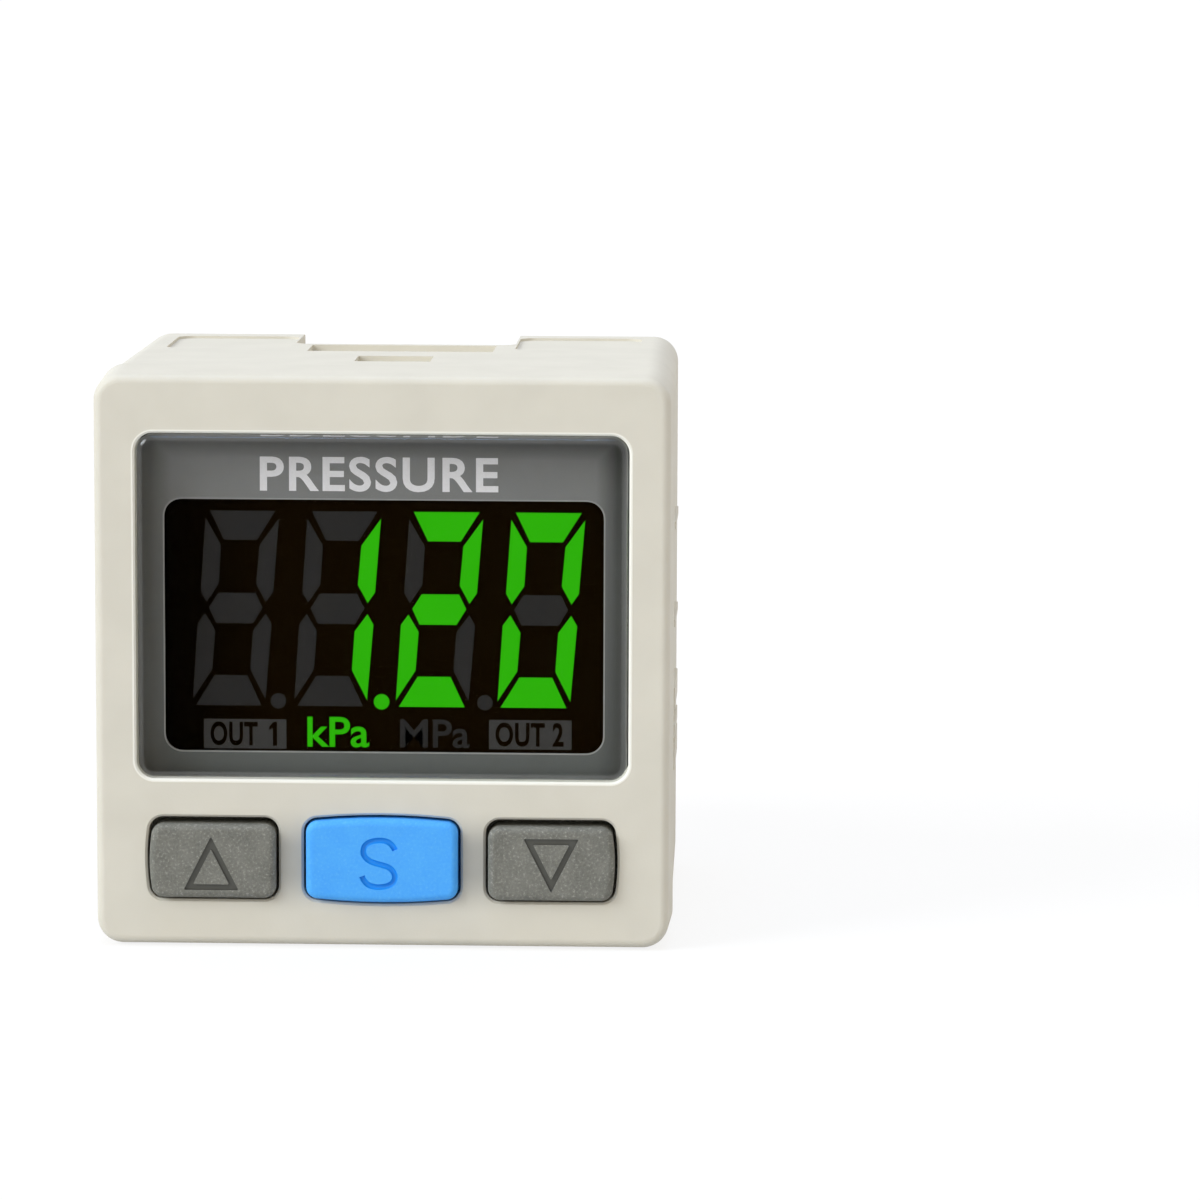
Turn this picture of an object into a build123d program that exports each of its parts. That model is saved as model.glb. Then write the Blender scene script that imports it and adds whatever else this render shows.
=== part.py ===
from build123d import *
import os

# A small square digital pressure switch. It stands on its flat underside, +Z up, and its
# front looks along -Y. All sizes are in millimetres. Depths are counted from the front face
# of the bezel to the rear.

# Bezel and case
front_width = 30.0
front_height = 30.0
body_depth = 25.0
bezel_depth = 4.8
bezel_draft = 0.14
bezel_wall = 1.2
front_wall = 1.6
corner_radius = 1.35
front_edge_radius = 0.45
seam_edge_radius = 0.15
case_step = 0.1
case_draft = 0.15
case_wall = 1.6
rear_edge_radius = 0.3

# Joint between bezel and case: a lip with four snap bumps
lip_length = 2.0
lip_wall = 0.9
lip_clearance = 0.05
rim_length = 1.5
snap_height = 0.35
snap_length = 1.0
snap_width = 4.0
snap_inset = 0.4
snap_spacing = 14.0
snap_clearance = 0.1

# Display window
window_side_margin = 2.25
window_top_margin = 3.13
window_radius = 0.95
window_edge_chamfer = 0.1
lens_clearance = 0.08
lens_proud = 0.1
lens_edge_radius = 0.4
lens_flange = 0.8
flange_overlap = 0.9

# Display stack behind the lens
film_gap = 0.05
film_thickness = 0.15
display_side_margin = 1.35
display_top_margin = 3.59
display_bottom_margin = 1.24
display_radius = 0.9
glass_side_border = 0.5
glass_end_border = 1.5
glass_thickness = 2.1
frame_clearance = 0.1
frame_wall = 0.75
peg_diameter = 1.0
peg_tail = 0.6
strip_height = 1.4
strip_inset = 0.35
guide_clearance = 0.15
guide_thickness = 2.4
led_gap = 0.1
led_width = 3.0
led_height = 1.6
led_thickness = 0.7
led_spacing = 11.0

# Push buttons
button_sill = 2.35
button_height = 4.68
button_web = 1.29
button_row_inset = 0.53
side_hole_width = 6.85
side_hole_height = 4.34
button_bulge = 0.24
side_bulge = 0.2
hole_radius = 0.75
hole_edge_chamfer = 0.12
button_clearance = 0.14
side_cap_gap = 0.2
button_proud = 0.5
button_edge_radius = 0.35
button_travel = 0.3
retainer_overlap = 0.4
retainer_gap = 0.05
retainer_thickness = 0.7
stem_diameter = 2.4
window_web = 1.82

# Press switches behind the buttons
switch_width = 4.2
switch_height = 3.2
switch_depth = 1.9
plunger_diameter = 2.0
plunger_proud = 0.7
plunger_depth = 0.6
plunger_clearance = 0.05
dome_gap = 0.1

# Circuit boards
board_thickness = 1.0
board_clearance = 0.15
board_spacing = 6.0
thin_post = 1.3
thick_post = 2.6
post_clearance = 0.15
link_pins = 4
link_spacing = 1.27
link_pin_size = 0.5
link_width = 2.2
link_post_gap = 0.4
link_top_inset = 1.0
link_tail = 0.5
pin_clearance = 0.05
spacer_diameter = 3.0
spacer_height = 5.0

# Chips
controller_size = 5.0
controller_thickness = 0.9
controller_place = (4.0, 17.0)
regulator_width = 6.5
regulator_height = 3.5
regulator_thickness = 1.6
regulator_place = (6.0, 20.5)
transistor_width = 2.9
transistor_height = 1.3
transistor_thickness = 1.1
transistor_spacing = 4.5
transistor_place = (-6.5, 19.0)
chip_chamfer = 0.15

# Pressure port in the rear wall
rear_wall = 1.6
port_height = 12.3
gasket_thickness = 0.5
gasket_diameter = 11.6
hex_across_flats = 12.0
hex_thickness = 3.5
thread_diameter = 9.73
thread_length = 8.0
thread_chamfer = 0.8
relief_diameter = 8.4
relief_length = 1.0
tap_bore_diameter = 4.2
tap_bore_depth = 6.0
passage_diameter = 1.8
spigot_diameter = 8.0
spigot_clearance = 0.05
nut_across_flats = 10.5
nut_thickness = 1.9
spigot_overhang = 0.6

# Pressure sensor between the rear board and the port
sensor_size = 7.0
sensor_thickness = 3.0
nozzle_diameter = 3.0
nozzle_reach = 2.6
nozzle_bore = 0.8
cup_diameter = 4.6
cup_end_gap = 0.6
ring_section = 0.8
ring_inset = 0.8

# Brass mounting inserts beside the port
insert_spacing = 20.0
insert_diameter = 4.0
insert_length = 4.5
insert_thread_bore = 2.5
insert_groove = 0.25
boss_diameter = 6.0
boss_floor = 0.8

# Socket for the lead, at the top of the rear wall
socket_width = 10.4
socket_height = 5.6
socket_wall_gap = 0.15
socket_recess = 0.4
socket_cavity_width = 8.8
socket_cavity_height = 3.8
socket_floor = 2.6
latch_slot_width = 3.0
contact_count = 4
contact_spacing = 2.0
contact_size = 0.5
contact_setback = 1.2
contact_tail = 0.6

# Top face of the case
notch_width = 12.0
notch_length = 6.4
notch_radius = 0.8
notch_step = 0.65
long_pocket_width = 10.0
long_pocket_length = 3.8
short_pocket_width = 4.0
short_pocket_length = 3.2
pocket_depth = 0.4
pocket_lead = 0.7
pocket_gap = 2.9
pad_width = 6.7
pad_length = 7.7
pad_inset = 1.95
pad_end = 1.8
pad_depth = 0.12
pad_radius = 0.9

# Ribs on both sides of the case that a panel adapter grips: (height above the base, width)
side_ribs = [(8.25, 1.4), (9.95, 0.7), (11.4, 1.25), (15.9, 0.4), (21.1, 0.4)]
rib_start = 3.0
rib_length = 7.0
rib_proud = 0.12

# Places that follow from the sizes above
rear_reach = body_depth + gasket_thickness + hex_thickness + thread_length
front_y = button_proud - (button_proud + rear_reach) / 2
window_width = front_width - 2 * window_side_margin
window_bottom = button_sill + button_height + window_web
window_height = front_height - window_top_margin - window_bottom
window_middle = window_bottom + window_height / 2
display_width = window_width - 2 * display_side_margin
display_height = window_height - display_top_margin - display_bottom_margin
display_middle = window_bottom + display_bottom_margin + display_height / 2
glass_width = display_width + 2 * glass_side_border
glass_height = display_height + 2 * glass_end_border
flange_rear = front_wall + lens_flange
film_front = flange_rear + film_gap
film_rear = film_front + film_thickness
glass_front = film_rear + film_gap
glass_rear = glass_front + glass_thickness
guide_front = glass_rear + film_gap
guide_rear = guide_front + guide_thickness
board_front = guide_rear + led_gap + led_thickness
board_rear = board_front + board_thickness
rear_board_front = board_rear + board_spacing
rear_board_rear = rear_board_front + board_thickness
lip_width = front_width - 2 * bezel_wall - 2 * lip_clearance
lip_height = front_height - 2 * bezel_wall - 2 * lip_clearance
board_width = lip_width - 2 * lip_wall - 2 * board_clearance
board_height = lip_height - 2 * lip_wall - 2 * board_clearance
middle = front_height / 2
case_seam_width = front_width - 2 * case_step
case_seam_height = front_height - case_step
case_rear_width = case_seam_width - 2 * case_draft
case_rear_height = case_seam_height - case_draft
cavity_width = case_rear_width - 2 * case_wall
cavity_height = case_rear_height - 2 * case_wall
cavity_middle = case_wall + cavity_height / 2
cavity_rear = body_depth - rear_wall
button_middle = button_sill + button_height / 2
side_hole_centre = window_width / 2 - button_row_inset - side_hole_width / 2
set_hole_width = 2 * (side_hole_centre - side_hole_width / 2 - button_web)
retainer_front = front_wall + retainer_gap
retainer_rear = retainer_front + retainer_thickness
switch_front = board_front - switch_depth
plunger_front = switch_front - plunger_proud
socket_top = front_height - case_step - case_draft - case_wall - socket_wall_gap
socket_middle = socket_top - socket_height / 2
socket_rear = body_depth - socket_recess
link_first_x = -(cavity_width / 2 - thick_post - link_post_gap)
link_middle_x = link_first_x + (link_pins - 1) * link_spacing / 2
link_middle_z = middle + board_height / 2 - link_top_inset
sensor_rear = rear_board_rear + sensor_thickness
nozzle_end = sensor_rear + nozzle_reach


def facing(depth):
    """The plane at this depth, seen from the front: its x is X and its y is Z."""
    return Plane(origin=(0, front_y + depth, 0), x_dir=(1, 0, 0), z_dir=(0, -1, 0))


def slab(sketch, front, rear):
    """A sketch, drawn as seen from the front, made solid between two depths."""
    return extrude(facing(rear) * sketch, rear - front)


def plate(width, height, radius, x=0.0, z=middle):
    """A rounded rectangle centred at x and z."""
    return Pos(x, z) * RectangleRounded(width, height, radius)


def disc(diameter, x=0.0, z=middle):
    return Pos(x, z) * Circle(diameter / 2)


def drafted_block(length, width, height, side_draft, top_draft, base_draft):
    """A block with rounded long corners. Its full end is at Y 0, and it narrows along +Y."""
    block = Wedge(width, length, height, side_draft, base_draft, width - side_draft, height - top_draft,
                  align=(Align.CENTER, Align.MIN, Align.MIN))
    corners = block.edges().filter_by(lambda edge: abs(edge.tangent_at(0.5).Y) > 0.9)
    return fillet(corners, corner_radius)


def front_edges(solid):
    return solid.edges().group_by(Axis.Y)[0]


def rear_edges(solid):
    return solid.edges().group_by(Axis.Y)[-1]


def set_hole():
    """Outline of the middle button hole: its long edges bow outwards."""
    half_width = set_hole_width / 2
    half_height = button_height / 2 - button_bulge
    upper = ThreePointArc((-half_width, half_height), (0, button_height / 2), (half_width, half_height))
    right = Line((half_width, half_height), (half_width, -half_height))
    lower = ThreePointArc((half_width, -half_height), (0, -button_height / 2), (-half_width, -half_height))
    left = Line((-half_width, -half_height), (-half_width, half_height))
    outline = make_face([upper.edge(), right.edge(), lower.edge(), left.edge()])
    return Pos(0, button_middle) * fillet(outline.vertices(), hole_radius)


def side_outline(side, width, height, radius):
    """Outline on an outer button's place, whose outer edge bows outwards. side is -1 or 1."""
    inner = -side * width / 2
    bow = side * width / 2
    outer = bow - side * side_bulge
    half = height / 2
    upper = Line((inner, half), (outer, half))
    edge = ThreePointArc((outer, half), (bow, 0), (outer, -half))
    lower = Line((outer, -half), (inner, -half))
    close = Line((inner, -half), (inner, half))
    outline = make_face([upper.edge(), edge.edge(), lower.edge(), close.edge()])
    return Pos(side * side_hole_centre, button_middle) * fillet(outline.vertices(), radius)


def side_hole(side):
    return side_outline(side, side_hole_width, side_hole_height, hole_radius)


def side_cap(side):
    """Outline of an outer cap, which leaves a wider gap above it than below."""
    width = side_hole_width - 2 * button_clearance
    height = side_hole_height - 2 * button_clearance - side_cap_gap
    return Pos(0, -side_cap_gap / 2) * side_outline(side, width, height, hole_radius - button_clearance)


button_holes = {"up": side_hole(-1), "set": set_hole(), "down": side_hole(1)}
button_caps = {"up": side_cap(-1), "set": offset(set_hole(), -button_clearance), "down": side_cap(1)}
button_places = {"up": -side_hole_centre, "set": 0.0, "down": side_hole_centre}


def snap_places():
    """Side and height of the four snap bumps."""
    return [(side, middle + step * snap_spacing / 2) for side in (-1, 1) for step in (-1, 1)]


def snap_wedge(side, z, grow):
    """A wedge on the lip's side that slopes up to the rear. grow makes the pocket around it."""
    start = bezel_depth - snap_inset - snap_length - grow
    end = bezel_depth - snap_inset + grow
    base = lip_width / 2 - lip_wall / 2
    face = lip_width / 2
    top = face + snap_height + grow
    outline = make_face(Polyline(
        (base, start), (face, start), (top, end - snap_height), (top, end), (base, end), close=True))
    wedge = extrude(Plane.XY * Pos(0, front_y) * outline, snap_width / 2 + grow, both=True)
    if side < 0:
        wedge = mirror(wedge, about=Plane.YZ)
    return Pos(0, 0, z) * wedge


def make_bezel():
    """Drafted front frame with the window, the button holes and the snap pockets."""
    block = drafted_block(bezel_depth, front_width, front_height, bezel_draft, bezel_draft, bezel_draft)
    bezel = Pos(0, front_y + bezel_depth, 0) * Rot(0, 0, 180) * block
    bezel = fillet(front_edges(bezel), front_edge_radius)
    bezel = fillet(rear_edges(bezel), seam_edge_radius)
    inside = plate(front_width - 2 * bezel_wall, front_height - 2 * bezel_wall, corner_radius - bezel_wall / 2)
    bezel -= slab(inside, front_wall, bezel_depth)
    window = plate(window_width, window_height, window_radius, z=window_middle)
    bezel -= slab(window, 0, front_wall)
    for hole in button_holes.values():
        bezel -= slab(hole, 0, front_wall)
    rims = front_edges(bezel).filter_by(
        lambda edge: inside_box(edge, window_width, window_height, window_middle))
    bezel = chamfer(rims, window_edge_chamfer)
    rims = front_edges(bezel).filter_by(
        lambda edge: inside_box(edge, window_width, button_height, button_middle))
    bezel = chamfer(rims, hole_edge_chamfer)
    for side, z in snap_places():
        bezel -= snap_wedge(side, z, snap_clearance)
    return bezel


def inside_box(edge, width, height, z):
    """Whether an edge's middle lies within a box centred on the front face at height z."""
    slack = 0.01
    place = edge.center()
    return abs(place.X) < width / 2 + slack and abs(place.Z - z) < height / 2 + slack


def make_case():
    """Rear shell: draft, lip and snap bumps, board posts, bosses, notch, slots, pads and ribs."""
    length = body_depth - bezel_depth
    block = drafted_block(length, case_seam_width, case_seam_height, case_draft, case_draft, 0)
    case = Pos(0, front_y + bezel_depth, 0) * block
    case = fillet(rear_edges(case), rear_edge_radius)
    cavity = plate(cavity_width, cavity_height, corner_radius - case_wall / 2, z=cavity_middle)
    case -= slab(cavity, bezel_depth, cavity_rear)
    lip = plate(lip_width, lip_height, corner_radius - bezel_wall / 2)
    opening = plate(lip_width - 2 * lip_wall, lip_height - 2 * lip_wall, corner_radius - bezel_wall / 2)
    case += slab(lip - opening, bezel_depth - lip_length, bezel_depth + rim_length)
    for side, z in snap_places():
        case += snap_wedge(side, z, 0)
    case += board_posts()
    for side in (-1, 1):
        case += slab(disc(boss_diameter, side * insert_spacing / 2, port_height),
                     body_depth - insert_length - boss_floor, cavity_rear)
        case -= slab(disc(insert_diameter, side * insert_spacing / 2, port_height),
                     body_depth - insert_length, body_depth)
    case -= slab(disc(spigot_diameter + 2 * spigot_clearance, z=port_height), cavity_rear, body_depth)
    case -= socket_cutout()
    case -= top_notch()
    case -= top_pockets()
    case += side_grips()
    return case


def board_posts():
    """Stepped corner posts: the thin part carries the front board, the thick part the rear one."""
    posts = []
    for x_side in (-1, 1):
        for z_side in (-1, 1):
            corner_x = x_side * (cavity_width / 2)
            corner_z = cavity_middle + z_side * cavity_height / 2
            thin = Pos(corner_x, corner_z) * Rectangle(2 * thin_post, 2 * thin_post)
            thick = Pos(corner_x, corner_z) * Rectangle(2 * thick_post, 2 * thick_post)
            room = Pos(0, cavity_middle) * Rectangle(cavity_width, cavity_height)
            posts.append(slab(thin & room, board_rear, cavity_rear))
            posts.append(slab(thick & room, rear_board_rear, cavity_rear))
    return posts


def socket_cutout():
    """Opening in the rear wall that the socket looks through, open to the notch above it."""
    width = socket_width + 2 * socket_wall_gap
    low = socket_middle - socket_height / 2 - socket_wall_gap
    high = socket_top + socket_wall_gap
    return slab(Pos(0, (low + high) / 2) * Rectangle(width, high - low), cavity_rear, body_depth)


def top_notch():
    """Notch above the socket, open to the rear: a wide step, then a hole through the top wall."""
    step = case_rear_height - notch_step
    low = socket_top + socket_wall_gap
    place = Pos(0, front_y + body_depth)
    wide = place * RectangleRounded(notch_width, 2 * notch_length, notch_radius)
    hole_length = 2 * (notch_length - (notch_width - socket_width) / 2)
    through = place * RectangleRounded(socket_width + 2 * socket_wall_gap, hole_length, notch_radius)
    top = front_height
    return [extrude(Plane.XY.offset(step) * wide, top - step), extrude(Plane.XY.offset(low) * through, top - low)]


def top_pockets():
    """Two shallow pockets ahead of the notch and two shallow pads beside it."""
    top = case_rear_height
    long_place = body_depth - notch_length - pocket_lead - long_pocket_length / 2
    short_place = long_place - long_pocket_length / 2 - pocket_gap - short_pocket_length / 2
    long_pocket = Pos(0, front_y + long_place) * Rectangle(long_pocket_width, long_pocket_length)
    short_pocket = Pos(0, front_y + short_place) * Rectangle(short_pocket_width, short_pocket_length)
    cuts = [extrude(Plane.XY.offset(top - pocket_depth) * (long_pocket + short_pocket), case_wall)]
    pad_place = body_depth - pad_end - pad_length / 2
    for side in (-1, 1):
        pad_x = side * (case_rear_width / 2 - pad_inset - pad_width / 2)
        pad = Pos(pad_x, front_y + pad_place) * RectangleRounded(pad_width, pad_length, pad_radius)
        cuts.append(extrude(Plane.XY.offset(top - pad_depth) * pad, case_wall))
    return cuts


def side_grips():
    """Ribs along both sides of the case."""
    ribs = []
    start = bezel_depth + rib_start
    outer = case_seam_width / 2 + rib_proud - case_draft * rib_start / (body_depth - bezel_depth)
    inner = case_rear_width / 2 - case_wall / 2
    for z, width in side_ribs:
        for side in (-1, 1):
            rib = Pos(side * (outer + inner) / 2, z + width / 2) * Rectangle(outer - inner, width)
            ribs.append(slab(rib, start, start + rib_length))
    return ribs


def make_lens():
    """Clear window with a rounded front edge and a flange that bears on the bezel from behind."""
    width = window_width - 2 * lens_clearance
    height = window_height - 2 * lens_clearance
    lens = slab(plate(width, height, window_radius - lens_clearance, z=window_middle), -lens_proud, flange_rear)
    lens = fillet(front_edges(lens), lens_edge_radius)
    flange = plate(window_width + 2 * flange_overlap, window_height + 2 * flange_overlap, window_radius,
                   z=window_middle)
    lens += slab(flange, front_wall, flange_rear)
    return lens


def make_mask():
    """Printed film behind the lens, open over the display."""
    outer = plate(window_width + flange_overlap, window_height + flange_overlap, window_radius, z=window_middle)
    opening = plate(display_width, display_height, display_radius, z=display_middle)
    return slab(outer - opening, film_front, film_rear)


def make_glass():
    """Display cell: two glass plates, the rear one longer so that its contacts are free."""
    rear_plate = Pos(0, display_middle) * Rectangle(glass_width, glass_height)
    front_plate = Pos(0, display_middle) * Rectangle(glass_width, glass_height - glass_end_border)
    split = glass_front + glass_thickness / 2
    return slab(front_plate, glass_front, split) + slab(rear_plate, split, glass_rear)


def peg_places():
    """Centres of the display frame's four pegs."""
    x = glass_width / 2 + frame_clearance + frame_wall - peg_diameter / 2
    z = glass_height / 2 - peg_diameter
    return [(i * x, display_middle + j * z) for i in (-1, 1) for j in (-1, 1)]


def make_display_frame():
    """Frame that holds the display cell against the mask and pegs into the front board."""
    inner_width = glass_width + 2 * frame_clearance
    inner_height = glass_height + 2 * frame_clearance
    inner = Pos(0, display_middle) * Rectangle(inner_width, inner_height)
    outer = plate(inner_width + 2 * frame_wall, inner_height + 2 * frame_wall, frame_wall / 2, z=display_middle)
    frame = slab(outer - inner, film_rear, board_front)
    for x, z in peg_places():
        frame += slab(disc(peg_diameter, x, z), board_front, board_rear + peg_tail)
        side = 1 if x > 0 else -1
        root = Pos(side * (inner_width / 2 + frame_wall / 2), z) * Rectangle(frame_wall, peg_diameter)
        frame += slab(root, board_front - frame_wall, board_front)
    return frame


def make_strip(side):
    """Rubber contact strip between the display cell's edge and the front board."""
    z = display_middle + side * (glass_height / 2 - strip_inset - strip_height / 2)
    outline = Pos(0, z) * Rectangle(glass_width - 2 * frame_clearance, strip_height)
    return slab(outline, glass_rear, board_front)


def make_light_guide():
    """Clear block that spreads the light behind the display, thinner towards its ends."""
    height = glass_height - 2 * (strip_inset + strip_height + guide_clearance)
    outline = Pos(0, display_middle) * Rectangle(glass_width - 2 * guide_clearance, height)
    guide = slab(outline, guide_front, guide_rear)
    ends = rear_edges(guide).filter_by(Axis.Z)
    return chamfer(ends, guide_thickness / 2)


def make_led(side):
    outline = Pos(side * led_spacing / 2, display_middle) * Rectangle(led_width, led_height)
    led = slab(outline, board_front - led_thickness, board_front)
    return chamfer(front_edges(led), chip_chamfer)


def board_blank():
    return Pos(0, middle) * Rectangle(board_width, board_height)


def link_places():
    """Centres of the pins that join the two boards."""
    return [(link_first_x + i * link_spacing, link_middle_z) for i in range(link_pins)]


def contact_places():
    """Centres of the socket's contacts."""
    first = -(contact_count - 1) * contact_spacing / 2
    return [(first + i * contact_spacing, socket_middle) for i in range(contact_count)]


def pin_hole(size, x, z):
    """Round hole that a square pin passes with clearance at its corners."""
    return disc(size * 2 ** 0.5 + 2 * pin_clearance, x, z)


def make_front_board():
    board = board_blank()
    for x, z in link_places():
        board -= pin_hole(link_pin_size, x, z)
    for x, z in peg_places():
        board -= disc(peg_diameter + 2 * pin_clearance, x, z)
    return slab(board, board_front, board_rear)


def make_rear_board():
    """Rear board, notched at its corners to pass the thin posts."""
    board = board_blank()
    for x_side in (-1, 1):
        for z_side in (-1, 1):
            corner_x = x_side * (cavity_width / 2)
            corner_z = cavity_middle + z_side * cavity_height / 2
            reach = 2 * (thin_post + post_clearance)
            board -= Pos(corner_x, corner_z) * Rectangle(reach, reach)
    for x, z in link_places():
        board -= pin_hole(link_pin_size, x, z)
    for x, z in contact_places():
        board -= pin_hole(contact_size, x, z)
    return slab(board, rear_board_front, rear_board_rear)


def make_link():
    """Moulded strip between the boards that carries the link pins."""
    strip = Pos(link_middle_x, link_middle_z) * Rectangle(link_pins * link_spacing, link_width)
    for x, z in link_places():
        strip -= pin_hole(link_pin_size, x, z)
    return slab(strip, board_rear, rear_board_front)


def make_link_pins():
    pins = []
    for x, z in link_places():
        pin = Pos(x, z) * Rectangle(link_pin_size, link_pin_size)
        pins.append(slab(pin, board_front - link_tail, rear_board_rear + link_tail))
    return Compound(pins)


def make_spacer():
    return slab(disc(spacer_diameter, z=spacer_height), board_rear, rear_board_front)


def chip(width, height, thickness, place, base, towards_front):
    """A moulded chip body with a chamfered top, seated on a board face."""
    x, z = place
    outline = Pos(x, z) * Rectangle(width, height)
    if towards_front:
        body = slab(outline, base - thickness, base)
        return chamfer(front_edges(body), chip_chamfer)
    body = slab(outline, base, base + thickness)
    return chamfer(rear_edges(body), chip_chamfer)


def make_controller():
    """Square controller chip with a dimple at its first pin."""
    body = chip(controller_size, controller_size, controller_thickness, controller_place, board_rear, False)
    mark = controller_size / 2 - 2 * chip_chamfer - controller_size / 10
    dimple = disc(controller_size / 8, controller_place[0] - mark, controller_place[1] + mark)
    top = board_rear + controller_thickness
    return body - slab(dimple, top - chip_chamfer, top)


def leaded_chip(width, height, thickness, place, lead_width, lead_count):
    """A chip on the rear board's front face with leads below it and a wide tab above."""
    body = chip(width, height, thickness, place, rear_board_front, True)
    x, z = place
    foot = thickness / 4
    reach = height / 3
    pitch = width / lead_count
    for i in range(lead_count):
        lead = Pos(x + (i - (lead_count - 1) / 2) * pitch, z - height / 2 - reach / 2)
        body += slab(lead * Rectangle(lead_width, reach), rear_board_front - foot, rear_board_front)
    tab = Pos(x, z + height / 2 + reach / 2) * Rectangle(width / 2, reach)
    return body + slab(tab, rear_board_front - foot, rear_board_front)


def make_transistor(side):
    x, z = transistor_place
    place = (x, z + side * transistor_spacing / 2)
    return leaded_chip(transistor_width, transistor_height, transistor_thickness, place, 0.4, 2)


def make_switch(name):
    """Body of a press switch, bored for its plunger."""
    outline = plate(switch_width, switch_height, chip_chamfer, button_places[name], button_middle)
    body = slab(outline, switch_front, board_front)
    bore = disc(plunger_diameter + 2 * plunger_clearance, button_places[name], button_middle)
    return body - slab(bore, switch_front, switch_front + plunger_depth + button_travel + dome_gap)


def make_plunger(name):
    outline = disc(plunger_diameter, button_places[name], button_middle)
    plunger = slab(outline, plunger_front, switch_front + plunger_depth)
    return chamfer(front_edges(plunger), chip_chamfer)


def make_button(name):
    """Cap that stands proud of the front, with a retaining rim and a stem behind the front wall."""
    cap = slab(button_caps[name], -button_proud, retainer_rear)
    cap = fillet(front_edges(cap), button_edge_radius)
    cap += slab(offset(button_holes[name], retainer_overlap), retainer_front, retainer_rear)
    cap += slab(disc(stem_diameter, button_places[name], button_middle), retainer_rear, plunger_front)
    return cap


def make_sensor():
    """Sensor block on the rear board with the nozzle that plugs into the port."""
    block = slab(plate(sensor_size, sensor_size, 0.5, z=port_height), rear_board_rear, sensor_rear)
    block = chamfer(rear_edges(block), chip_chamfer)
    nozzle = slab(disc(nozzle_diameter, z=port_height), sensor_rear - chip_chamfer, nozzle_end)
    nozzle = chamfer(rear_edges(nozzle), chip_chamfer)
    sensor = block + nozzle
    return sensor - slab(disc(nozzle_bore, z=port_height), sensor_rear - sensor_thickness / 2, nozzle_end)


def make_ring():
    """Sealing ring on the nozzle, squeezed in the port's cup."""
    seat = (cup_diameter + nozzle_diameter) / 4
    section = facing(0).origin + Vector(seat, sensor_rear + ring_inset + ring_section / 2, port_height)
    circle = Plane(origin=section, x_dir=(1, 0, 0), z_dir=(0, 0, 1)) * Circle(ring_section / 2)
    axis = Axis((0, front_y, port_height), (0, 1, 0))
    return revolve(circle, axis, 360)


def hexagon(across_flats):
    """A hexagon with flats above and below the port's axis."""
    return Pos(0, port_height) * RegularPolygon(across_flats / 2, 6, major_radius=False)


def rounded_hex(across_flats, front, rear, both_ends):
    """Hexagon bar with its corners turned off, as on a nut."""
    bar = slab(hexagon(across_flats), front, rear)
    corner = across_flats / 3 ** 0.5
    drop = (corner - across_flats / 2) * 0.58
    turned = slab(disc(2 * corner, z=port_height), front, rear)
    turned = chamfer(rear_edges(turned), drop, corner - across_flats / 2)
    if both_ends:
        turned = chamfer(front_edges(turned), drop, corner - across_flats / 2)
    return bar & turned


def make_port():
    """Nickel-plated port: spigot through the wall, hexagon, and a threaded end with an inner thread."""
    spigot_front = nozzle_end - nozzle_reach + spigot_overhang
    hex_front = body_depth + gasket_thickness
    hex_rear = hex_front + hex_thickness
    port = slab(disc(spigot_diameter, z=port_height), spigot_front, hex_front)
    port += rounded_hex(hex_across_flats, hex_front, hex_rear, False)
    port += slab(disc(relief_diameter, z=port_height), hex_rear, hex_rear + relief_length)
    thread = slab(disc(thread_diameter, z=port_height), hex_rear + relief_length, rear_reach)
    port += chamfer(rear_edges(thread), thread_chamfer)
    port -= slab(disc(tap_bore_diameter, z=port_height), rear_reach - tap_bore_depth, rear_reach)
    port -= slab(disc(passage_diameter, z=port_height), spigot_front, rear_reach)
    return port - slab(disc(cup_diameter, z=port_height), spigot_front, nozzle_end + cup_end_gap)


def make_gasket():
    ring = disc(gasket_diameter, z=port_height) - disc(spigot_diameter, z=port_height)
    return slab(ring, body_depth, body_depth + gasket_thickness)


def make_nut():
    """Nut that clamps the port to the rear wall from inside."""
    nut = rounded_hex(nut_across_flats, cavity_rear - nut_thickness, cavity_rear, True)
    return nut - slab(disc(spigot_diameter, z=port_height), cavity_rear - nut_thickness, cavity_rear)


def make_insert(side):
    """Threaded brass insert with a groove round its middle, moulded into its boss."""
    x = side * insert_spacing / 2
    body = slab(disc(insert_diameter, x, port_height), body_depth - insert_length, body_depth)
    groove = disc(insert_diameter, x, port_height) - disc(insert_diameter - 2 * insert_groove, x, port_height)
    centre = body_depth - insert_length / 2
    body -= slab(groove, centre - insert_length / 8, centre + insert_length / 8)
    return body - slab(disc(insert_thread_bore, x, port_height), body_depth - insert_length, body_depth)


def make_socket():
    """Socket housing on the rear board, open to the rear, with a latch slot in its roof."""
    outline = Pos(0, socket_middle) * Rectangle(socket_width, socket_height)
    cavity = Pos(0, socket_middle) * Rectangle(socket_cavity_width, socket_cavity_height)
    slot_height = (socket_height - socket_cavity_height) / 2
    slot = Pos(0, socket_top - slot_height / 2) * Rectangle(latch_slot_width, slot_height)
    floor = rear_board_rear + socket_floor
    housing = slab(outline, rear_board_rear, socket_rear)
    housing -= slab(cavity + slot, floor, socket_rear)
    for x, z in contact_places():
        housing -= slab(pin_hole(contact_size, x, z), rear_board_rear, floor)
    return housing


def make_contacts():
    contacts = []
    for x, z in contact_places():
        pin = slab(Pos(x, z) * Rectangle(contact_size, contact_size),
                   rear_board_front - contact_tail, socket_rear - contact_setback)
        contacts.append(chamfer(rear_edges(pin), contact_size / 5))
    return Compound(contacts)


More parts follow.
